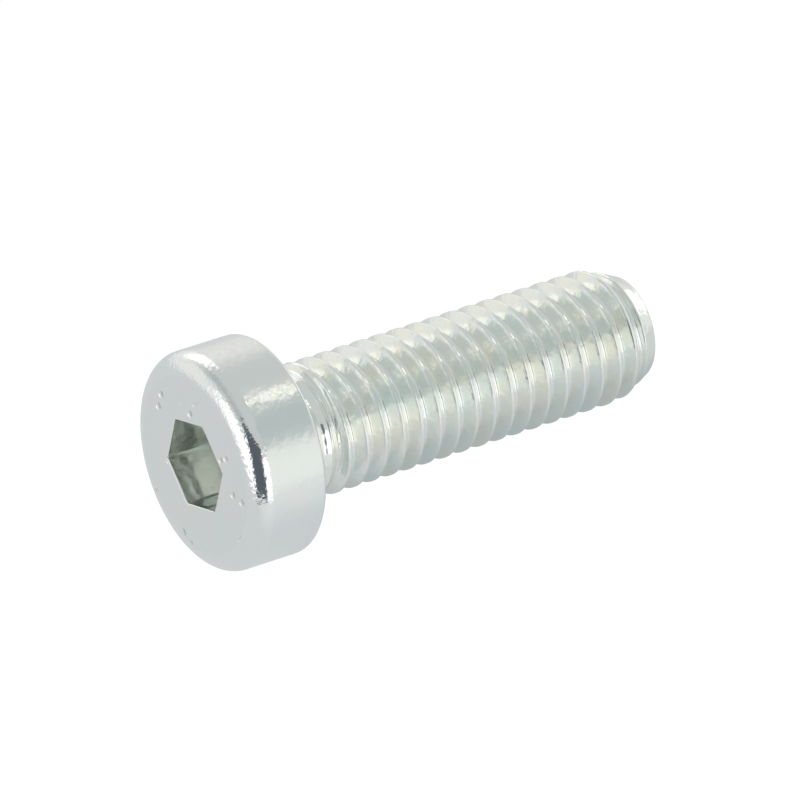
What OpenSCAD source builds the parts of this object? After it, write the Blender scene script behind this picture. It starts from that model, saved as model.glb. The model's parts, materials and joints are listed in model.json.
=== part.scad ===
// Low head cap screw with a hexagon socket, M8 x 25, threaded close to the head.
// One piece of cold formed, zinc plated steel with a rolled thread.
// It lies as it comes to rest on a flat surface: on the rim of its head and on the
// thread near its tip, with the head toward -X and the tip toward +X.
// The origin is on that surface, under the middle of the screw. Sizes in millimetres.

/* [Head] */
// Outside diameter of the head
head_d = 13; // [12.4:0.1:16]
// Height of the head, from its bearing face to its top
head_h = 4.7; // [4.4:0.1:8]
// Radius that rounds the top edge of the head
top_edge_r = 1; // [0.3:0.1:1.6]
// Bevel that breaks the edge of the bearing face
bearing_bevel = 0.25; // [0.1:0.05:0.5]

/* [Socket] */
// Width of the hexagon across its flats
socket_af = 5; // [4:0.1:6]
// Depth of the flats at the corners of the hexagon
socket_depth = 3.8; // [2:0.1:3.9]
// Further depth of the shallow cone that closes the socket
socket_cone_h = 0.45; // [0.1:0.05:0.6]
// Turn of the hexagon about the screw's axis
socket_turn = 7; // [0:1:59]

/* [Shank] */
// Length from the bearing face to the tip, a nominal 25 within its tolerance
shank_l = 25.2; // [16:0.1:60]
// Diameter of the neck between the head and the thread
neck_d = 7.4; // [7.2:0.05:7.6]
// Length of the neck, from the bearing face to where the thread begins
neck_l = 2; // [1:0.1:4]
// Radius of the fillet where the neck meets the bearing face
neck_fillet_r = 0.4; // [0.1:0.05:0.6]

/* [Thread] */
// Major diameter of the thread, which its tolerance lets lie just below 8
thread_d = 7.9; // [7.7:0.01:8]
// Diameter at the sides of the rounded root
root_d = 6.5; // [6.4:0.05:6.8]
// How much deeper the root is at its middle
root_sag = 0.05; // [0:0.01:0.1]
// Distance from one crest to the next
pitch = 1.25; // [1:0.25:1.5]
// Length over which the thread rises out of the neck
runout_l = 1.2; // [0.3:0.1:1.5]
// Height of the low shoulder where the thread begins
shoulder_h = 0.05; // [0.02:0.01:0.1]
// Turn of the thread about the screw's axis
thread_turn = 290; // [0:1:359]
// Straight sides that one turn of the thread is made of
turn_sides = 40; // [24:4:48]

/* [Tip] */
// Diameter of the flat end face
tip_d = 6; // [5.5:0.1:6.8]
// Length of the bevel between the thread and the end face
tip_bevel_l = 2; // [0.5:0.1:2.4]

/* [Hidden] */
$fn = 96;

// Past a face by this much, a cut leaves no skin
cut_margin = 1;
// The thread's rod starts this far inside the neck
thread_root_l = 0.5;

// One pitch of the thread, as [share of the pitch, radius]: a rounded root, a flank
// at 30 degrees, a flat crest and the flank down to the next root
thread_section = [
    [0, root_d / 2],
    [0.125, root_d / 2 - root_sag],
    [0.25, root_d / 2],
    [0.5625, thread_d / 2],
    [0.6875, thread_d / 2]];
section_points = len(thread_section);
crest_end = section_points - 1;

// The screw rests on the rim of its head and on the last full crest of its thread,
// where that crest passes under the screw
full_thread_end = shank_l - tip_bevel_l;
low_side = 360 - thread_turn;
turns_to_last = floor((full_thread_end - thread_height(0, crest_end)) / pitch
    - low_side / 360);
last_crest = thread_height(0, crest_end) + pitch * (turns_to_last + low_side / 360);
rest_tilt = atan((head_d - thread_d) / 2 / (last_crest + bearing_bevel));
axis_height = head_d / 2 * cos(rest_tilt) - bearing_bevel * sin(rest_tilt);

// How far the head and the tip reach to each side of the bearing face, at rest
reach_back = (head_h - top_edge_r) * cos(rest_tilt)
    + (head_d / 2 - top_edge_r) * sin(rest_tilt) + top_edge_r;
reach_front = max(
    shank_l * cos(rest_tilt) + tip_d / 2 * sin(rest_tilt),
    full_thread_end * cos(rest_tilt) + thread_d / 2 * sin(rest_tilt));

socket_corner_d = socket_af / cos(30);

steel = [0.80, 0.82, 0.82];

// Outline of the head, from the axis outward. The bearing face is at height 0
module head_outline() {
    inner_r = head_d / 2 - top_edge_r;
    translate([0, -head_h]) square([inner_r, head_h]);
    translate([0, -head_h + top_edge_r])
        square([head_d / 2, head_h - top_edge_r - bearing_bevel]);
    translate([inner_r, -head_h + top_edge_r]) circle(top_edge_r);
    polygon([
        [0, -bearing_bevel],
        [head_d / 2, -bearing_bevel],
        [head_d / 2 - bearing_bevel, 0],
        [0, 0]]);
}

// Outline of the neck, from the axis outward
module neck_outline() {
    translate([0, -bearing_bevel]) square([neck_d / 2, neck_l + bearing_bevel]);
}

// Outline of the ring that fills the corner between the neck and the bearing face
module fillet_outline() {
    difference() {
        translate([neck_d / 2 - bearing_bevel, -bearing_bevel])
            square([neck_fillet_r + bearing_bevel, neck_fillet_r + bearing_bevel]);
        translate([neck_d / 2 + neck_fillet_r, neck_fillet_r]) circle(neck_fillet_r);
    }
}

module head() {
    color(steel) rotate_extrude() head_outline();
}

module neck() {
    color(steel) {
        rotate_extrude() neck_outline();
        rotate_extrude() fillet_outline();
    }
}

// Rows of points in the helix, with a spare turn past each end
thread_rows = section_points * (ceil((shank_l - neck_l) / pitch) + 2);

// Where row j of the helix has come to after i sides of a turn
function thread_height(i, j) =
    neck_l + pitch * (floor(j / section_points) - 1.5
        + thread_section[j % section_points][0] + i / turn_sides);

// The thread rises from just inside the neck to its full depth
function thread_radius(j, height) =
    let (
        base = neck_d / 2 - shoulder_h,
        rise = min(1, max(0, (height - neck_l) / runout_l)))
    base + (thread_section[j % section_points][1] - base) * rise;

function thread_point(i, j) =
    let (
        height = thread_height(i, j),
        radius = thread_radius(j, height),
        turn = 360 * i / turn_sides)
    [radius * cos(turn), radius * sin(turn), height];

// The point beside point i of row j, one side further round and up the helix
function beside(i, j) =
    i < turn_sides - 1 ? j * turn_sides + i + 1 : (j + section_points) * turn_sides;

// A rod with the thread round it, longer at both ends than the screw needs
module threaded_rod() {
    last_row = thread_rows - section_points;
    helix = [for (j = [0:thread_rows]) for (i = [0:turn_sides - 1]) thread_point(i, j)];
    low_end = len(helix);
    high_end = low_end + 1;
    points = concat(helix, [
        [0, 0, thread_height(0, 0)],
        [0, 0, thread_height(turn_sides, last_row)]]);
    wall = [
        for (j = [0:last_row - 1]) for (i = [0:turn_sides - 1])
            let (
                here = j * turn_sides + i,
                above = here + turn_sides,
                next = beside(i, j),
                next_above = beside(i, j + 1))
            each [[here, above, next], [next, above, next_above]]];
    low_cap = concat(
        [for (i = [0:turn_sides - 1]) [low_end, i, beside(i, 0)]],
        [for (j = [0:section_points - 1])
            [low_end, (j + 1) * turn_sides, j * turn_sides]]);
    high_cap = concat(
        [for (i = [0:turn_sides - 1])
            [high_end, beside(i, last_row), last_row * turn_sides + i]],
        [for (j = [last_row:last_row + section_points - 1])
            [high_end, j * turn_sides, (j + 1) * turn_sides]]);
    polyhedron(points, concat(wall, low_cap, high_cap));
}

// What is left of the rod: it starts inside the neck and is bevelled at the tip
module thread_envelope() {
    bevel_slope = (thread_d - tip_d) / 2 / tip_bevel_l;
    rotate_extrude() polygon([
        [0, neck_l - thread_root_l],
        [thread_d / 2 + cut_margin, neck_l - thread_root_l],
        [thread_d / 2 + cut_margin, full_thread_end - cut_margin / bevel_slope],
        [tip_d / 2, shank_l],
        [0, shank_l]]);
}

module thread() {
    color(steel) intersection() {
        rotate([0, 0, thread_turn]) threaded_rod();
        thread_envelope();
    }
}

// The hexagon that a key turns, closed by a shallow cone
module socket() {
    color(steel) intersection() {
        translate([0, 0, -head_h - cut_margin]) rotate([0, 0, socket_turn])
            cylinder(
                h = cut_margin + socket_depth + socket_cone_h,
                d = socket_corner_d,
                $fn = 6);
        union() {
            translate([0, 0, -head_h - cut_margin])
                cylinder(h = cut_margin + socket_depth, d = socket_corner_d + cut_margin);
            translate([0, 0, -head_h + socket_depth])
                cylinder(h = socket_cone_h, d1 = socket_corner_d, d2 = 0);
        }
    }
}

// The screw about its own axis, with the tip upward and the bearing face at height 0
module upright_screw() {
    difference() {
        union() {
            head();
            neck();
            thread();
        }
        socket();
    }
}

module cap_screw() {
    translate([(reach_back - reach_front) / 2, 0, axis_height])
        rotate([0, 90 + rest_tilt, 0])
            upright_screw();
}

cap_screw();
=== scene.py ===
import bpy
import json
import math
import numpy as np
from mathutils import Matrix, Vector


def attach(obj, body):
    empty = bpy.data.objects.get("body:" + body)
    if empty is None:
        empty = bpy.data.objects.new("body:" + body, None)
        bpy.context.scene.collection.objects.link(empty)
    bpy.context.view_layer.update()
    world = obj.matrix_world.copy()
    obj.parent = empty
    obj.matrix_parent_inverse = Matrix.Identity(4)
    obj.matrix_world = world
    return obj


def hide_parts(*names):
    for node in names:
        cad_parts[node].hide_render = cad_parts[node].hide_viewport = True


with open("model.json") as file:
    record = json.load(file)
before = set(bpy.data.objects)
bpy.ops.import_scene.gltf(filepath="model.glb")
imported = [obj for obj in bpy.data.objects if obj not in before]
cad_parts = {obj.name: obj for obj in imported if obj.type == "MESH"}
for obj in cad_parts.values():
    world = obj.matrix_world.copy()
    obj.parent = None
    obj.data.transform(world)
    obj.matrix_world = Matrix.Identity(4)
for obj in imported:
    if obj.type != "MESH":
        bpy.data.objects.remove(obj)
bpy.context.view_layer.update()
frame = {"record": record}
mm = 0.001
print("frame loaded")

# where the screw lies: the middle of its bearing face, and its axis toward the tip
bearingFace = next(m for m in frame["record"]["mounts"] if m["name"] == "bearing_face")
bearingMiddle = Vector(bearingFace["pos_m"])
tipward = Vector(bearingFace["axis"]).normalized()
across = Vector((0, 1, 0))
downward = across.cross(tipward)

head = {
    "diameter": 13 * mm,
    "height": 4.7 * mm,
    "crownFrom": 4.7 * mm,  # radius where the face begins to fall away toward the rim
    "crown": 0.035 * mm,
    "rimWidth": 1.45 * mm,  # half widths of the ellipse that rounds the rim
    "rimHeight": 1.1 * mm,
    "rimStart": 9.9,  # degrees of the ellipse whose place the crowned face takes
    "bearingBevel": 0.25 * mm,
}

socket = {
    "flats": 5 * mm,
    "depth": 3.8 * mm,
    "cone": 0.45 * mm,  # the shallow cone that closes it
    "cornerRadius": 0.12 * mm,
    "mouthBevel": 0.09 * mm,
    "turn": 7,  # degrees about the axis
}

shank = {
    "length": 25.2 * mm,
    "neckDiameter": 7.1 * mm,
    "neckLength": 2 * mm,
    "neckFillet": 0.4 * mm,
    "plainEnd": 1.6 * mm,  # where the fine rings of the neck begin
    "tipDiameter": 6 * mm,
    "tipBevel": 2.05 * mm,
    "tipEdge": 0.27 * mm,  # radius between the bevel and the end face
    "threadShows": (3 * mm, 3.6 * mm),  # the valley's duller finish comes in here
    "threadFades": (24.1 * mm, 24.5 * mm),  # and goes again here
}

thread = {
    "diameter": 7.9 * mm,
    "rootDiameter": 6.5 * mm,
    "rootSag": 0.05 * mm,
    "pitch": 1.25 * mm,
    "turn": 290,  # degrees about the axis
    "runOut": 1.2 * mm,  # over which it rises out of the neck
    "blankDiameter": 7.34 * mm,  # of the bare stretch that the run-out rises from
    "crestSoftness": 0.014 * mm,  # how round rolling left the corners
    "rootSoftness": 0.016 * mm,
    "bevelSoftness": 0.16 * mm,  # how round the thread's edge is where the bevel cuts it
    "crestSeam": 0.002 * mm,  # the faint fold along the crest
    "seamWidth": 0.018,  # in pitches, as the next three are
    "crestHalf": 1 / 16,  # half width of the flat crest
    "rootHalf": 1 / 8,  # half width of the rounded root
    "crestAt": 0.125,  # where the middle of the crest lies, past the thread's start
    "wobble": 0.006 * mm,
    "wobbleWaves": ((3, 90), (1, -210)),  # how many go round the shank, and how many to the metre
    "helixStart": 3.3 * mm,
    "helixEnd": 22.6 * mm,
    "fineStep": 0.038 * mm,
    "burnished": (0.03, 0.055),  # pitches from the crest's middle over which its burnish goes
}

dieRings = {  # the fine ridges pressed into the neck where the thread begins
    "at": (1.55 * mm, 2.22 * mm, 2.47 * mm, 2.72 * mm, 2.97 * mm),
    "height": 0.042 * mm,
    "halfWidth": 0.055 * mm,
    "slope": (1.78 * mm, 2.1 * mm),  # where the neck rises to the rolled blank
}

sides = 192  # round the axis: a multiple of 6, so that the hexagon keeps its corners
turns = socket["turn"] / 360 + np.arange(sides) / sides


def softMin(a, b, reach):
    near = np.maximum(reach - np.abs(a - b), 0) / reach
    return np.minimum(a, b) - near * near * reach / 4


def softMax(a, b, reach):
    return -softMin(-a, -b, reach)


def smoothStep(value, start, end):
    share = np.clip((value - start) / (end - start), 0, 1)
    return share * share * (3 - 2 * share)


# the thread's section, by how far a point is round from the crest, in pitches
def threadSection(fromCrest):
    top, side, low = thread["diameter"] / 2, thread["rootDiameter"] / 2, thread["rootSag"]
    crestHalf, rootHalf = thread["crestHalf"], thread["rootHalf"]
    flank = top - (fromCrest - crestHalf) / (0.5 - crestHalf - rootHalf) * (top - side)
    root = side - low + low * ((0.5 - fromCrest) / rootHalf) ** 2
    seam = thread["crestSeam"] * np.exp(-(fromCrest / thread["seamWidth"]) ** 2)
    return softMin(top - seam, softMax(flank, root, thread["rootSoftness"]), thread["crestSoftness"])


def fromCrestAt(axial, turn):
    place = (axial - shank["neckLength"]) / thread["pitch"] - turn + thread["turn"] / 360
    return np.abs((place - thread["crestAt"] + 0.5) % 1 - 0.5)


# the shank's radius anywhere along and round it
def shankRadius(axial, turn):
    neck, blank = shank["neckDiameter"] / 2, thread["blankDiameter"] / 2
    base = neck + (blank - neck) * smoothStep(axial, *dieRings["slope"])
    rise = smoothStep(axial, shank["neckLength"], shank["neckLength"] + thread["runOut"])
    section = threadSection(fromCrestAt(axial, turn))
    radius = base + (section - base) * rise
    for place in dieRings["at"]:
        radius = radius + dieRings["height"] * np.exp(-((axial - place) / dieRings["halfWidth"]) ** 2)
    waves = [np.sin(2 * math.pi * (around * turn + along * axial)) for around, along in thread["wobbleWaves"]]
    radius = radius + thread["wobble"] * waves[0] * waves[1] * rise
    fromTip = (shank["length"] - axial) / shank["tipBevel"]
    bevel = shank["tipDiameter"] / 2 + (thread["diameter"] - shank["tipDiameter"]) / 2 * fromTip
    return softMin(radius, bevel, thread["bevelSoftness"])


# the hexagon's outline, with its corners slightly round
def hexagonRadius(flats):
    corner = socket["cornerRadius"]
    offFlat = (turns - socket["turn"] / 360) * 360 % 60 - 30
    offFlat = np.radians(np.abs(offFlat))
    middle = (flats / 2 - corner) / math.cos(math.pi / 6)
    offCorner = middle * np.sin(math.pi / 6 - offFlat)
    flat = flats / 2 / np.cos(offFlat)
    arc = np.sqrt(np.maximum(corner ** 2 - offCorner ** 2, 0)) + middle * np.cos(math.pi / 6 - offFlat)
    return np.where(flats / 2 * np.tan(offFlat) <= (flats / 2 - corner) * math.tan(math.pi / 6), flat, arc)


skin = {"axial": [], "radius": [], "turn": [], "lay": [], "faces": [], "finish": []}


def addPoint(axial, radius, turn, lay):
    for key, value in (("axial", axial), ("radius", radius), ("turn", turn), ("lay", lay)):
        skin[key].append(float(value))
    return len(skin["axial"]) - 1


# rows of the mesh in the rounded and plain stretches
steps = {"mouth": 4, "rim": 18, "fillet": 7, "neck": 6, "tip": 8}

# where each band of the profile starts, as the tool's marks run across it
layFrom = {
    "face": 1 * mm, "crown": 3 * mm, "rim": 4.02 * mm, "side": 6 * mm, "bevel": 9 * mm,
    "bearing": 10 * mm, "fillet": 12 * mm, "neck": 14 * mm,
}


# one ring of points; lay is how far along the profile it is
def addRing(axial, radius, lay):
    axial, radius = np.broadcast_to(axial, sides), np.broadcast_to(radius, sides)
    return [addPoint(axial[i], radius[i], turns[i], lay) for i in range(sides)]


def addFace(corners, finish):
    corners = [c for i, c in enumerate(corners) if c != corners[i - 1]]
    if len(corners) > 2 and len(set(corners)) == len(corners):
        skin["faces"].append(corners)
        skin["finish"].append(finish)


def joinRings(low, high, finish):
    for i in range(sides):
        j = (i + 1) % sides
        addFace([low[i], low[j], high[j], high[i]], finish)


def stackRings(below, rows, finish, lay, layStep=0.02 * mm):
    for axial, radius in rows:
        lay += layStep
        ring = addRing(axial, radius, lay)
        joinRings(below, ring, finish)
        below = ring
    return below


def between(start, end, shares):
    return [start + (end - start) * s for s in shares]


# equal steps from 0 to 1, without the 0
def evenShares(count):
    return [k / count for k in range(1, count + 1)]


def quarterTurn(count):
    return [math.pi / 2 * s for s in evenShares(count)]


# finishes, by the index of the material that shows them
forged, satin, bright, rolled, broached, punched = 0, 1, 2, 3, 4, 5
held = (0.02, 0.06, 0.15, 0.3, 0.5, 0.7, 0.85, 0.94, 0.98)  # rows close to both edges of a plain band


def makeSocket():
    cornerReach = socket["flats"] / math.cos(math.pi / 6) / 2
    outline = hexagonRadius(socket["flats"])
    top = -head["height"]

    def floorDepth(radius):
        return top + socket["depth"] + socket["cone"] * (1 - radius / cornerReach)

    centre = addPoint(floorDepth(0), 0, turns[0], 0)
    nearCentre = outline * 0.06
    first = addRing(floorDepth(nearCentre), nearCentre, 0)
    for i in range(sides):
        addFace([centre, first[(i + 1) % sides], first[i]], punched)
    floorShares = (0.2, 0.4, 0.6, 0.8, 0.93, 0.98, 0.995)
    floorRows = [(floorDepth(outline * s), outline * s) for s in floorShares]
    ring = stackRings(first, floorRows, punched, 0)
    low, high = floorDepth(outline), top + socket["mouthBevel"]
    wallShares = (0, 0.01, 0.04, *held[2:-1], 0.99, 1)
    wallRows = [(low + (high - low) * s, outline) for s in wallShares]
    ring = stackRings(ring, wallRows, broached, 0)
    bevel = socket["mouthBevel"]
    mouthRows = [
        (high - bevel * math.sin(a), outline + bevel * (1 - math.cos(a)))
        for a in quarterTurn(steps["mouth"])]
    return stackRings(ring, mouthRows, bright, 0)


def makeHead(mouth):
    outline = hexagonRadius(socket["flats"]) + socket["mouthBevel"]
    outer = head["diameter"] / 2
    top = -head["height"]
    faceRows = [(top, outline + (head["crownFrom"] - outline) * s) for s in (*held, 1)]
    ring = stackRings(mouth, faceRows, forged, layFrom["face"])
    start = math.radians(head["rimStart"])
    middle = outer - head["rimWidth"]
    reach = middle + head["rimWidth"] * math.sin(start) - head["crownFrom"]
    crownShares = (0.2, 0.4, 0.6, 0.8, 1)
    crownRows = [(top + head["crown"] * s * s, head["crownFrom"] + reach * s) for s in crownShares]
    ring = stackRings(ring, crownRows, forged, layFrom["crown"])
    shoulder = top + head["crown"] + head["rimHeight"] * math.cos(start)
    swings = between(start, math.pi / 2, evenShares(steps["rim"]))
    rimRows = [
        (shoulder - head["rimHeight"] * math.cos(a), middle + head["rimWidth"] * math.sin(a))
        for a in swings]
    ring = stackRings(ring, rimRows, bright, layFrom["rim"], layStep=0.1 * mm)
    low, high = shoulder, -head["bearingBevel"]
    sideLay = 2.6 * mm  # how far the tool's marks spread over the side
    for s in (*held[1:], 1):
        ring = stackRings(ring, [(low + (high - low) * s, outer)], satin, layFrom["side"] + sideLay * s)
    bevel = head["bearingBevel"]
    bevelShares = (0.3, 0.6, 0.85, 0.98, 1)
    bevelRows = [(bevel * (s - 1), outer - bevel * (1 - math.sqrt(1 - s * s))) for s in bevelShares]
    ring = stackRings(ring, bevelRows, bright, layFrom["bevel"])
    fillet = shank["neckFillet"]
    inner = shank["neckDiameter"] / 2 + fillet
    bearingRows = [(0, radius) for radius in between(outer - bevel, inner, (*held, 1))]
    ring = stackRings(ring, bearingRows, satin, layFrom["bearing"])
    filletRows = [
        (fillet * (1 - math.cos(a)), inner - fillet * math.sin(a))
        for a in quarterTurn(steps["fillet"])]
    return stackRings(ring, filletRows, satin, layFrom["fillet"])


# rings at one height each, for the neck's ridges, the rising thread and the bevel
def makeShankRings(below, start, end, step):
    for axial in between(start, end, evenShares(math.ceil((end - start) / step))):
        radius = shankRadius(axial, turns)
        ring = addRing(axial, radius, 0)
        for i in range(sides):
            skin["lay"][ring[i]] = radius[i]
        joinRings(below, ring, rolled)
        below = ring
    return below


# the full thread: rows that follow the helix, from one ring to another
def makeHelix(below, start, end):
    above = addRing(end, shankRadius(end, turns), 0)
    for i in range(sides):
        skin["lay"][above[i]] = skin["radius"][above[i]]
    crestAt = thread["crestAt"]
    fromMiddle = (0.02, 0.055, thread["crestHalf"], 0.07, 0.2, 0.345, 0.39, 0.44)  # rows to each side
    shares = [crestAt + side * off for side in (-1, 1) for off in fromMiddle]
    shares = sorted(s % 1 for s in [*shares, crestAt, crestAt + 0.5])
    perTurn = len(shares)
    offset = turns - thread["turn"] / 360
    first = math.floor((start - shank["neckLength"]) / thread["pitch"] - offset.max()) - 1
    last = math.ceil((end - shank["neckLength"]) / thread["pitch"] - offset.min()) + 2
    snap = 0.02 * mm  # a point closer than this to an end ring becomes one of its points
    grid = []
    for row in range((last - first) * perTurn):
        share = first + row // perTurn + shares[row % perTurn]
        heights = shank["neckLength"] + thread["pitch"] * (share + offset)
        radii = shankRadius(heights, turns)
        line = []
        for i in range(sides):
            if heights[i] <= start + snap:
                line.append(below[i])
            elif heights[i] >= end - snap:
                line.append(above[i])
            else:
                line.append(addPoint(heights[i], radii[i], turns[i], radii[i]))
        grid.append(line)
    for row in range(len(grid) - perTurn - 1):
        for i in range(sides):
            ahead, column = (0, i + 1) if i + 1 < sides else (perTurn, 0)
            low, high = grid[row + ahead][column], grid[row + ahead + 1][column]
            addFace([grid[row][i], low, high, grid[row + 1][i]], rolled)
    return above


# the arc between the bevel and the end face, as the turn of its normal from the axis
def tipArc():
    slope = math.atan2((thread["diameter"] - shank["tipDiameter"]) / 2, shank["tipBevel"])
    edge = shank["tipEdge"]
    cut = edge * math.tan((math.pi / 2 - slope) / 2)
    return slope, edge, cut, shank["length"] - cut * math.cos(slope)


def makeTip(below):
    slope, edge, cut, _ = tipArc()
    middle = shank["tipDiameter"] / 2 - cut
    for swing in between(math.pi / 2 - slope, 0, evenShares(steps["tip"])):
        ring = addRing(shank["length"] - edge * (1 - math.cos(swing)), middle + edge * math.sin(swing), 0)
        joinRings(below, ring, rolled)
        below = ring
    endShares = (0.97, 0.85, 0.65, 0.45, 0.25, 0.1)
    for s in endShares:
        ring = addRing(shank["length"], middle * s, 0)
        joinRings(below, ring, satin)
        below = ring
    centre = addPoint(shank["length"], 0, turns[0], 0)
    for i in range(sides):
        addFace([below[i], below[(i + 1) % sides], centre], satin)


def makeScrew(name):
    mouth = makeSocket()
    neckEnd = makeHead(mouth)
    heights = between(shank["neckFillet"], shank["plainEnd"], evenShares(steps["neck"]))
    neckRows = [(height, shank["neckDiameter"] / 2) for height in heights]
    neckEnd = stackRings(neckEnd, neckRows, satin, layFrom["neck"], layStep=0.2 * mm)
    runOut = makeShankRings(neckEnd, shank["plainEnd"], thread["helixStart"], thread["fineStep"])
    full = makeHelix(runOut, thread["helixStart"], thread["helixEnd"])
    lastRing = makeShankRings(full, thread["helixEnd"], tipArc()[3], thread["fineStep"])
    makeTip(lastRing)
    axial, radius, turn, lay = (np.array(skin[key]) for key in ("axial", "radius", "turn", "lay"))
    angle = 2 * math.pi * turn
    places = (
        np.outer(axial, tipward)
        + np.outer(radius * np.cos(angle), downward)
        + np.outer(radius * np.sin(angle), across)
        + np.array(bearingMiddle))
    mesh = bpy.data.meshes.new(name)
    mesh.from_pydata(places.tolist(), [], skin["faces"])
    mesh.polygons.foreach_set("use_smooth", [True] * len(mesh.polygons))
    mesh.polygons.foreach_set("material_index", skin["finish"])
    marks = mesh.attributes.new("toolLay", "FLOAT_VECTOR", "POINT")  # across the tool's marks, then round
    marks.data.foreach_set("vector", np.stack([lay / mm, np.cos(angle), np.sin(angle)], 1).ravel())
    onCrest = 1 - smoothStep(fromCrestAt(axial, turn), *thread["burnished"])
    beforeThread = 1 - smoothStep(axial, *shank["threadShows"])
    plain = np.maximum(beforeThread, smoothStep(axial, *shank["threadFades"]))
    worn = mesh.attributes.new("burnish", "FLOAT", "POINT")  # 0 in the valley of the thread, 1 on its crest
    worn.data.foreach_set("value", np.maximum(onCrest, plain))
    mesh.update()
    piece = bpy.data.objects.new(name, mesh)
    bpy.context.scene.collection.objects.link(piece)
    return piece


capScrew = makeScrew("capScrew")
print("screw made:", len(capScrew.data.polygons), "faces")


def addNode(tree, kind, **values):
    node = tree.nodes.new("ShaderNode" + kind)
    for key, value in values.items():
        if hasattr(node, key):
            setattr(node, key, value)
        else:
            node.inputs[key.replace("_", " ")].default_value = value
    return node


def link(tree, source, target):
    tree.links.new(source, target)


def newGroup(name, inputs, outputs):
    group = bpy.data.node_groups.new(name, "ShaderNodeTree")
    for label, kind, value in inputs:
        made = group.interface.new_socket(label, in_out="INPUT", socket_type="NodeSocket" + kind)
        if value is not None:
            made.default_value = value
    for label, kind in outputs:
        group.interface.new_socket(label, in_out="OUTPUT", socket_type="NodeSocket" + kind)
    return group, group.nodes.new("NodeGroupInput"), group.nodes.new("NodeGroupOutput")


def placeGroup(tree, group, values):
    node = tree.nodes.new("ShaderNodeGroup")
    node.node_tree = group
    for key, value in values.items():
        node.inputs[key].default_value = value
    return node


# mixes two colours; each of share, a and b is a value or another node's output
def mixColours(tree, share, a, b):
    node = tree.nodes.new("ShaderNodeMix")
    node.data_type = "RGBA"
    for label, kind, value in (("Factor", "VALUE", share), ("A", "RGBA", a), ("B", "RGBA", b)):
        target = next(i for i in node.inputs if i.name == label and i.type == kind)
        if isinstance(value, tuple):
            target.default_value = (*value, 1)
        else:
            tree.links.new(value, target)
    return next(o for o in node.outputs if o.type == "RGBA")


def mathNode(tree, operation, a, b=None):
    node = tree.nodes.new("ShaderNodeMath")
    node.operation = operation
    for slot, value in ((0, a), (1, b)):
        if isinstance(value, (int, float)):
            node.inputs[slot].default_value = value
        elif value is not None:
            tree.links.new(value, node.inputs[slot])
    return node.outputs[0]


def noiseNode(tree, vector, scale, detail):
    node = tree.nodes.new("ShaderNodeTexNoise")
    node.inputs["Detail"].default_value = detail
    tree.links.new(vector, node.inputs["Vector"])
    if isinstance(scale, (int, float)):
        node.inputs["Scale"].default_value = scale
    else:
        tree.links.new(scale, node.inputs["Scale"])
    return node.outputs["Fac"]


# plated grain: the plating's crystals, a slower swell under them, the tool's marks and small nicks;
# sizes and heights are in millimetres
def makeGrainGroup():
    group, given, made = newGroup(
        "platingGrain",
        [("Grain Size", "Float", 0.12), ("Grain Height", "Float", 0.001),
         ("Swell Size", "Float", 0.6), ("Swell Height", "Float", 0.01),
         ("Mark Size", "Float", 0.12), ("Mark Height", "Float", 0.002), ("Mark Length", "Float", 5),
         ("Nick Size", "Float", 1), ("Nick Depth", "Float", 0.01), ("Nick Share", "Float", 0.3)],
        [("Height", "Float"), ("Grain", "Float")])
    place = group.nodes.new("ShaderNodeTexCoord").outputs["Object"]
    lay = addNode(group, "Attribute", attribute_name="toolLay").outputs["Vector"]
    split = addNode(group, "SeparateXYZ")
    link(group, lay, split.inputs[0])
    threadRadius = 4  # millimetres: there the marks have their stated length
    along = mathNode(group, "DIVIDE", threadRadius, given.outputs["Mark Length"])
    drawn = group.nodes.new("ShaderNodeCombineXYZ")
    link(group, split.outputs["X"], drawn.inputs["X"])
    link(group, mathNode(group, "MULTIPLY", split.outputs["Y"], along), drawn.inputs["Y"])
    link(group, mathNode(group, "MULTIPLY", split.outputs["Z"], along), drawn.inputs["Z"])

    def layer(vector, size, height, detail, unit):
        scale = mathNode(group, "DIVIDE", unit, given.outputs[size])
        noise = noiseNode(group, vector, scale, detail)
        return noise, mathNode(group, "MULTIPLY", noise, given.outputs[height])

    grain, fine = layer(place, "Grain Size", "Grain Height", 2, 1 / mm)
    _, swell = layer(place, "Swell Size", "Swell Height", 1, 1 / mm)
    _, scored = layer(drawn.outputs["Vector"], "Mark Size", "Mark Height", 2, 1)
    cells = addNode(group, "TexVoronoi", Randomness=1)
    link(group, place, cells.inputs["Vector"])
    link(group, mathNode(group, "DIVIDE", 1 / mm, given.outputs["Nick Size"]), cells.inputs["Scale"])
    chance = addNode(group, "SeparateXYZ")
    link(group, cells.outputs["Color"], chance.inputs[0])
    chosen = mathNode(group, "LESS_THAN", chance.outputs["X"], given.outputs["Nick Share"])
    pitFloor, pitEdge = 0.08, 0.27  # radii of a nick, as shares of its size
    pit = addNode(
        group, "MapRange", interpolation_type="SMOOTHSTEP",
        From_Min=pitFloor, From_Max=pitEdge, To_Min=-1, To_Max=0)
    link(group, cells.outputs["Distance"], pit.inputs["Value"])
    dented = mathNode(group, "MULTIPLY", pit.outputs["Result"], chosen)
    nicks = mathNode(group, "MULTIPLY", dented, given.outputs["Nick Depth"])
    relief = mathNode(group, "ADD", fine, swell)
    height = mathNode(group, "ADD", relief, mathNode(group, "ADD", scored, nicks))
    link(group, height, made.inputs["Height"])
    link(group, grain, made.inputs["Grain"])
    return group


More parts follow.
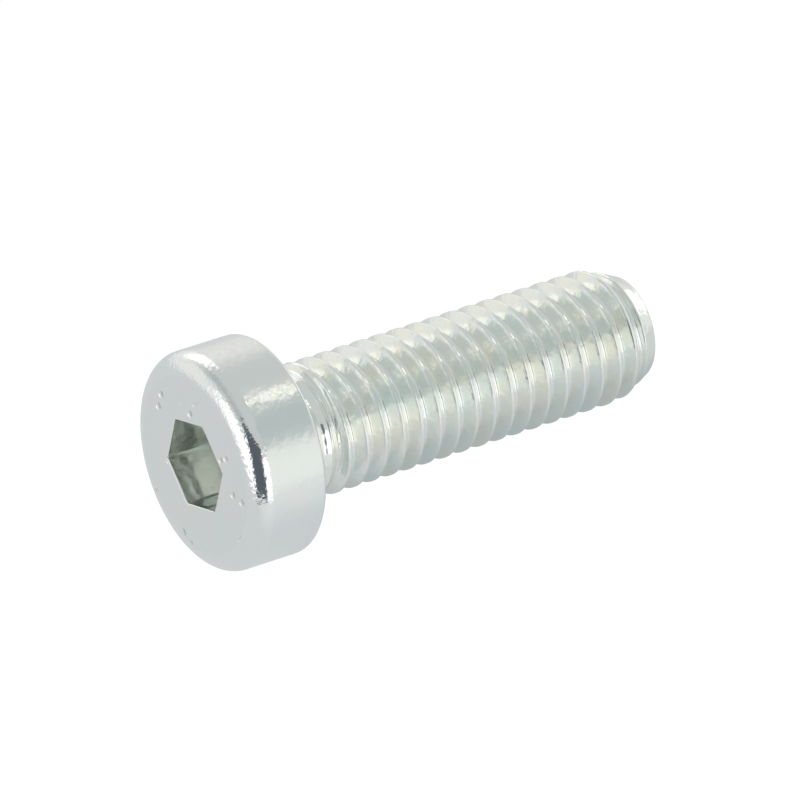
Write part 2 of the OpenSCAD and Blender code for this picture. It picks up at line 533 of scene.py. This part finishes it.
# zinc bloom: the passivated plating's faint drift between a cool and a warm cast
def makeBloomGroup():
    group, given, made = newGroup(
        "zincBloom",
        [("Base", "Color", (0.7, 0.72, 0.72, 1)), ("Cool", "Color", (0.6, 0.7, 0.75, 1)),
         ("Warm", "Color", (0.75, 0.75, 0.6, 1)), ("Patch Scale", "Float", 400), ("Amount", "Float", 0.5)],
        [("Color", "Color")])
    place = group.nodes.new("ShaderNodeTexCoord").outputs["Object"]
    patches = noiseNode(group, place, given.outputs["Patch Scale"], 2)
    allCool, allWarm = 0.38, 0.62  # noise values past which a patch has its whole cast
    ramp = addNode(group, "MapRange", From_Min=allCool, From_Max=allWarm)
    link(group, patches, ramp.inputs["Value"])
    cast = mixColours(group, ramp.outputs["Result"], given.outputs["Cool"], given.outputs["Warm"])
    tinted = mixColours(group, given.outputs["Amount"], given.outputs["Base"], cast)
    link(group, tinted, made.inputs["Color"])
    return group


grainGroup = makeGrainGroup()
bloomGroup = makeBloomGroup()
patchesPerMetre = 560  # how closely the plating's cool and warm patches lie

# sizes and heights in millimetres: grain, swell and marks are a size and a height, and marks have a
# length too; nicks are size, depth and the share of places that have one; rough is the least and the
# most roughness, and valley is how many times rougher it gets away from the thread's crest
finishes = {
    "forgedZinc": {  # the head's top face
        "base": (0.862, 0.872, 0.855),
        "cool": (0.83, 0.865, 0.875), "warm": (0.895, 0.88, 0.855), "bloom": 0.35,
        "rough": (0.19, 0.23), "valley": 1, "grain": (0.2, 0.0001), "swell": (0.6, 0.022),
        "marks": (0.2, 0.0006, 3), "nicks": (1.15, 0.06, 0.75),
    },
    "satinZinc": {  # the head's side, the bearing face, the neck and the end face
        "base": (0.862, 0.89, 0.88),
        "cool": (0.835, 0.885, 0.895), "warm": (0.895, 0.88, 0.865), "bloom": 0.35,
        "rough": (0.20, 0.25), "valley": 1, "grain": (0.2, 0.0002), "swell": (0.42, 0.018),
        "marks": (0.2, 0.001, 3), "nicks": (1.6, 0.012, 0.3),
    },
    "brightZinc": {  # the burnished rim
        "base": (0.875, 0.895, 0.885),
        "cool": (0.845, 0.89, 0.90), "warm": (0.905, 0.885, 0.875), "bloom": 0.3,
        "rough": (0.10, 0.15), "valley": 1, "grain": (0.16, 0.0003), "swell": (0.23, 0.023),
        "marks": (0.2, 0.001, 3), "nicks": (1.4, 0.003, 0.3),
    },
    "rolledZinc": {  # the thread
        "base": (0.908, 0.922, 0.893),
        "cool": (0.872, 0.918, 0.90), "warm": (0.93, 0.925, 0.85), "bloom": 0.7,
        "rough": (0.13, 0.175), "valley": 1.45, "grain": (0.18, 0.0001), "swell": (0.5, 0.034),
        "marks": (0.09, 0.003, 8), "nicks": (1.2, 0.008, 0.2),
    },
    "broachedZinc": {  # the socket's walls
        "base": (0.885, 0.91, 0.875),
        "cool": (0.84, 0.90, 0.89), "warm": (0.90, 0.91, 0.84), "bloom": 0.5,
        "rough": (0.16, 0.24), "valley": 1, "grain": (0.2, 0.0002), "swell": (0.9, 0.05),
        "marks": (0.3, 0.001, 3), "nicks": (2, 0.01, 0.2),
    },
    "punchedZinc": {  # the socket's bottom: a darker, yellower tone than the walls, and duller
        "base": (0.82, 0.84, 0.78),
        "cool": (0.79, 0.83, 0.80), "warm": (0.84, 0.84, 0.74), "bloom": 0.5,
        "rough": (0.21, 0.25), "valley": 1, "grain": (0.15, 0.0003), "swell": (0.9, 0.05),
        "marks": (0.3, 0.001, 3), "nicks": (2, 0.01, 0.2),
    },
}


# which inputs of the grain group each of a finish's effects sets
grainInputs = {
    "grain": ("Grain Size", "Grain Height"),
    "swell": ("Swell Size", "Swell Height"),
    "marks": ("Mark Size", "Mark Height", "Mark Length"),
    "nicks": ("Nick Size", "Nick Depth", "Nick Share"),
}


def makeFinish(name, look):
    material = bpy.data.materials.new(name)
    material.use_nodes = True
    tree = material.node_tree
    metal = tree.nodes["Principled BSDF"]
    metal.inputs["Metallic"].default_value = 1.0
    given = {}
    for effect, labels in grainInputs.items():
        given.update(zip(labels, look[effect]))
    grain = placeGroup(tree, grainGroup, given)
    bloom = placeGroup(tree, bloomGroup, {
        "Base": (*look["base"], 1), "Cool": (*look["cool"], 1), "Warm": (*look["warm"], 1),
        "Patch Scale": patchesPerMetre, "Amount": look["bloom"]})
    link(tree, bloom.outputs["Color"], metal.inputs["Base Color"])
    smooth, coarse = look["rough"]
    low, high = 0.35, 0.65  # values that the grain's noise mostly stays between
    rough = addNode(tree, "MapRange", From_Min=low, From_Max=high, To_Min=smooth, To_Max=coarse)
    link(tree, grain.outputs["Grain"], rough.inputs["Value"])
    burnish = addNode(tree, "Attribute", attribute_name="burnish").outputs["Fac"]
    dulled = addNode(tree, "MapRange", From_Min=0, From_Max=1, To_Min=look["valley"], To_Max=1)
    link(tree, burnish, dulled.inputs["Value"])
    shown = mathNode(tree, "MULTIPLY", rough.outputs["Result"], dulled.outputs["Result"])
    link(tree, shown, metal.inputs["Roughness"])
    bump = addNode(tree, "Bump", Strength=1, Distance=mm)
    link(tree, grain.outputs["Height"], bump.inputs["Height"])
    link(tree, bump.outputs["Normal"], metal.inputs["Normal"])
    return material


for name, look in finishes.items():
    capScrew.data.materials.append(makeFinish(name, look))
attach(capScrew, "root")
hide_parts("cap_screw")
print("finishes made")

camera = {
    "heading": 56.36,  # degrees from +X toward +Y
    "dip": 38.98,  # degrees below the horizon
    "roll": -0.42,
    "distance": 0.8,
    "pixelsPerMillimetre": 17.611,  # at the bearing face's middle
    "bearingMiddleAt": (263.4, 443.41),  # pixels in the photograph's 800 by 800 frame
    "frame": 800,
    "sensor": 36,
}


def makeCamera():
    heading, dip = math.radians(camera["heading"]), math.radians(camera["dip"])
    forward = Vector((math.cos(heading) * math.cos(dip), math.sin(heading) * math.cos(dip), -math.sin(dip)))
    level = Vector((math.sin(heading), -math.cos(heading), 0))
    right = Matrix.Rotation(math.radians(-camera["roll"]), 3, forward) @ level
    up = right.cross(forward)
    scale = camera["pixelsPerMillimetre"] / mm
    asideX = (camera["bearingMiddleAt"][0] - camera["frame"] / 2) / scale
    asideY = (camera["frame"] / 2 - camera["bearingMiddleAt"][1]) / scale
    data = bpy.data.cameras.new("photoCamera")
    data.sensor_width = camera["sensor"]
    data.lens = scale * camera["distance"] / camera["frame"] * camera["sensor"]
    made = bpy.data.objects.new("photoCamera", data)
    made.matrix_world = Matrix((right, up, -forward)).transposed().to_4x4()
    made.location = bearingMiddle - forward * camera["distance"] - right * asideX - up * asideY
    bpy.context.scene.collection.objects.link(made)
    bpy.context.scene.camera = made


makeCamera()
print("camera set")

# the light tent round the screw; directions are degrees from +X toward +Y, and above the horizon;
# wide and tall are half widths in degrees, and edge is the width of the soft edge
tent = {
    "low": (0.83, 0.85, 0.845),
    "high": (0.60, 0.63, 0.625),
    "highFrom": 0.6,  # the height on the dome where the low tone has gone
    "seenByCamera": (1.0, 1.0, 1.0),
    "panels": {
        "backWall": {
            "toward": 160, "above": 44, "wide": 32, "tall": 12, "edge": 14,
            "glow": (0.48, 0.52, 0.515)},
        "warmCard": {
            "toward": 48, "above": 8, "wide": 14, "tall": 20, "edge": 8,
            "glow": (0.76, 0.755, 0.725)},
        "backCard": {
            "toward": 125, "above": 6, "wide": 13, "tall": 13, "edge": 8,
            "glow": (0.875, 0.865, 0.83)},
        "backLamp": {
            "toward": 83, "above": 25, "wide": 21, "tall": 17, "edge": 11,
            "glow": (1.26, 1.22, 1.17)},
        "leftLamp": {
            "toward": 169, "above": 0, "wide": 21, "tall": 18, "edge": 9,
            "glow": (1.18, 1.18, 1.17)},
        "tentOpening": {
            "toward": 218, "above": 13, "wide": 29, "tall": 29, "edge": 6,
            "glow": (0.10, 0.12, 0.14)},
        "edgeLamp": {
            "toward": 268, "above": 6, "wide": 19, "tall": 23, "edge": 7,
            "glow": (1.25, 1.25, 1.25)},
        "rightLamp": {
            "toward": 302, "above": 9, "wide": 15, "tall": 17, "edge": 8,
            "glow": (0.90, 0.92, 0.87)},
        "rightCard": {
            "toward": 329, "above": 42, "wide": 21, "tall": 11, "edge": 6,
            "glow": (0.50, 0.56, 0.555)},
        "topGap": {
            "toward": 355, "above": 54, "wide": 5, "tall": 3.5, "edge": 3,
            "glow": (1.6, 1.54, 1.36)},
        "tipLamp": {
            "toward": 14, "above": 6, "wide": 13, "tall": 8, "edge": 6,
            "glow": (1.35, 1.35, 1.33)},
    },
}


def makePanelGroup():
    group, given, made = newGroup(
        "tentPanel",
        [("Toward", "Vector", None), ("Side", "Vector", None), ("Up", "Vector", None),
         ("Wide", "Float", 10), ("Tall", "Float", 10), ("Edge", "Float", 5)],
        [("Mask", "Float")])
    look = group.nodes.new("ShaderNodeTexCoord").outputs["Generated"]

    def along(name):
        dot = addNode(group, "VectorMath", operation="DOT_PRODUCT")
        link(group, look, dot.inputs[0])
        link(group, given.outputs[name], dot.inputs[1])
        return dot.outputs["Value"]

    def inside(offset, reach):
        past = mathNode(group, "SUBTRACT", mathNode(group, "ABSOLUTE", offset), given.outputs[reach])
        share = mathNode(group, "DIVIDE", past, given.outputs["Edge"])
        fade = addNode(
            group, "MapRange", interpolation_type="SMOOTHSTEP",
            From_Min=-0.5, From_Max=0.5, To_Min=1, To_Max=0)
        link(group, share, fade.inputs["Value"])
        return fade.outputs["Result"]

    aside = mathNode(group, "DEGREES", mathNode(group, "ARCTAN2", along("Side"), along("Toward")))
    above = mathNode(group, "DEGREES", mathNode(group, "ARCSINE", along("Up")))
    mask = mathNode(group, "MULTIPLY", inside(aside, "Wide"), inside(above, "Tall"))
    link(group, mask, made.inputs["Mask"])
    return group


def makeTent():
    world = bpy.data.worlds.new("lightTent")
    bpy.context.scene.world = world
    world.use_nodes = True
    tree = world.node_tree
    panelGroup = makePanelGroup()
    rise = addNode(tree, "SeparateXYZ")
    link(tree, tree.nodes.new("ShaderNodeTexCoord").outputs["Generated"], rise.inputs[0])
    lift = addNode(tree, "MapRange", From_Min=0, From_Max=tent["highFrom"], To_Min=0, To_Max=1)
    link(tree, rise.outputs["Z"], lift.inputs["Value"])
    glow = mixColours(tree, lift.outputs["Result"], tent["low"], tent["high"])
    for panel in tent["panels"].values():
        heading, above = math.radians(panel["toward"]), math.radians(panel["above"])
        level = Vector((math.cos(heading), math.sin(heading), 0))
        toward = level * math.cos(above) + Vector((0, 0, math.sin(above)))
        side = Vector((math.sin(heading), -math.cos(heading), 0))
        mask = placeGroup(tree, panelGroup, {
            "Toward": toward, "Side": side, "Up": side.cross(toward),
            "Wide": panel["wide"], "Tall": panel["tall"], "Edge": panel["edge"]})
        glow = mixColours(tree, mask.outputs["Mask"], glow, panel["glow"])
    fromCamera = tree.nodes.new("ShaderNodeLightPath").outputs["Is Camera Ray"]
    shown = mixColours(tree, fromCamera, glow, tent["seenByCamera"])
    link(tree, shown, tree.nodes["Background"].inputs["Color"])


makeTent()

floor = {
    "from": (-45 * mm, -40 * mm),
    "to": (60 * mm, 75 * mm),
    "tone": (0.05, 0.052, 0.053),
    "glow": (0.63, 0.65, 0.66),  # what the paper gives off, as if lit from below
    "frontPaintedLight": (0.74, 0.76, 0.755),  # painted light: the paper gives off more on the camera's side
    "frontFrom": -9 * mm,  # along Y, where the front's painted light comes in
    "frontTo": -22 * mm,  # and where it is full
    "shadeGlow": (0.40, 0.445, 0.455),  # and close beside the shank
    "shadeAlong": (-4 * mm, 14 * mm),  # from and to along X
    "shadeReach": (1 * mm, 9 * mm),  # how far off it is still full, and where it has gone
    "glowSeen": 0.99,  # the paper is white to the camera
}


def makeFloor():
    mesh = bpy.data.meshes.new("paperFloor")
    (x0, y0), (x1, y1) = floor["from"], floor["to"]
    mesh.from_pydata([(x0, y0, 0), (x1, y0, 0), (x1, y1, 0), (x0, y1, 0)], [], [(0, 1, 2, 3)])
    paper = bpy.data.materials.new("whitePaperWithPaintedLight")
    paper.use_nodes = True
    tree = paper.node_tree
    tree.nodes.remove(tree.nodes["Principled BSDF"])
    place = addNode(tree, "SeparateXYZ")
    link(tree, tree.nodes.new("ShaderNodeTexCoord").outputs["Object"], place.inputs[0])
    start, end = floor["shadeAlong"]
    fromMiddle = mathNode(tree, "ABSOLUTE", mathNode(tree, "SUBTRACT", place.outputs["X"], (start + end) / 2))
    past = mathNode(tree, "MAXIMUM", mathNode(tree, "SUBTRACT", fromMiddle, (end - start) / 2), 0)
    away = mathNode(tree, "SQRT", mathNode(
        tree, "ADD", mathNode(tree, "POWER", past, 2), mathNode(tree, "POWER", place.outputs["Y"], 2)))

    def blend(value, low, high, colourA, colourB):
        share = addNode(tree, "MapRange", interpolation_type="SMOOTHSTEP", From_Min=low, From_Max=high)
        link(tree, value, share.inputs["Value"])
        return mixColours(tree, share.outputs["Result"], colourA, colourB)

    # painted light and painted shade on the paper: its emission is brighter toward the front and darker
    # beside the shank, and only reflections see it
    lit = blend(place.outputs["Y"], floor["frontTo"], floor["frontFrom"], floor["frontPaintedLight"], floor["glow"])
    shaded = blend(away, *floor["shadeReach"], floor["shadeGlow"], lit)
    matt = addNode(tree, "BsdfDiffuse")
    matt.inputs["Color"].default_value = (*floor["tone"], 1)
    glow = addNode(tree, "Emission")
    link(tree, shaded, glow.inputs["Color"])
    seen = addNode(tree, "Emission")
    seen.inputs["Color"].default_value = (floor["glowSeen"],) * 3 + (1,)
    choose = tree.nodes.new("ShaderNodeMixShader")
    link(tree, tree.nodes.new("ShaderNodeLightPath").outputs["Is Camera Ray"], choose.inputs[0])
    link(tree, glow.outputs[0], choose.inputs[1])
    link(tree, seen.outputs[0], choose.inputs[2])
    both = tree.nodes.new("ShaderNodeAddShader")
    link(tree, matt.outputs[0], both.inputs[0])
    link(tree, choose.outputs[0], both.inputs[1])
    link(tree, both.outputs[0], tree.nodes["Material Output"].inputs["Surface"])
    mesh.materials.append(paper)
    made = bpy.data.objects.new("paperFloor", mesh)
    bpy.context.scene.collection.objects.link(made)


makeFloor()
bpy.context.scene.view_settings.view_transform = "Standard"
print("tent and floor made")
